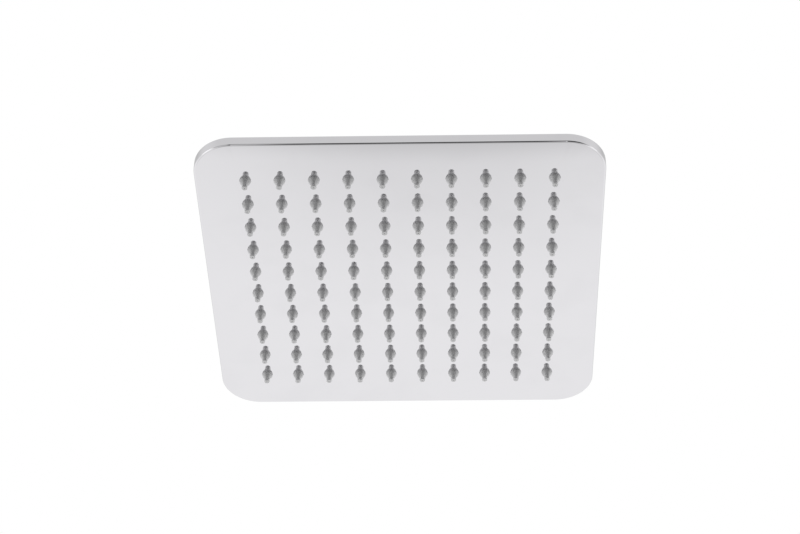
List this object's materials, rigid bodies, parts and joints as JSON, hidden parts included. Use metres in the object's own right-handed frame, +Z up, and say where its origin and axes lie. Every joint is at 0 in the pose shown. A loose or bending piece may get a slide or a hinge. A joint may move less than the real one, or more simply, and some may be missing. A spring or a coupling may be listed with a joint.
{
  "type": "rain shower head",
  "caption": "Square rain shower head with rounded corners, a polished face set with rows of tapered silicone nozzles, and a threaded inlet nut on a ball joint that tilts and turns.",
  "frame": {"origin": "centre of the mouth of the inlet nut, where the supply pipe screws in", "axes": "+Z up along the inlet, out of the nut's mouth; the spray face looks down along -Z; X and Y run along the sides of the square"},
  "size_m": [0.2, 0.2, 0.0445],
  "materials": {
    "polished_face": "mirror polish",
    "polished_cover": "mirror polish",
    "polished_nut": "polished",
    "silicone": "semi-gloss",
    "body_plastic": "satin",
    "ring_plastic": "matte",
    "washer_rubber": "matte",
    "strainer_steel": "brushed"
  },
  "bodies": {
    "inlet": {"inlet_nut": "polished_nut", "seat_washer": "washer_rubber", "inlet_strainer": "strainer_steel"},
    "ring": {"friction_ring": "ring_plastic"},
    "head": {"face_plate": "polished_face", "nozzle_mat": "silicone", "water_body": "body_plastic", "rear_cover": "polished_cover"}
  },
  "joints": [
    {"name": "turn", "type": "hinge", "parent": "inlet", "child": "ring", "pos_m": [0, 0, -0.0189], "axis": [0, 0, 1], "continuous": true},
    {"name": "tilt", "type": "hinge", "parent": "ring", "child": "head", "pos_m": [0, 0, -0.0189], "axis": [1, 0, 0], "range_deg": [-15, 15]}
  ]
}
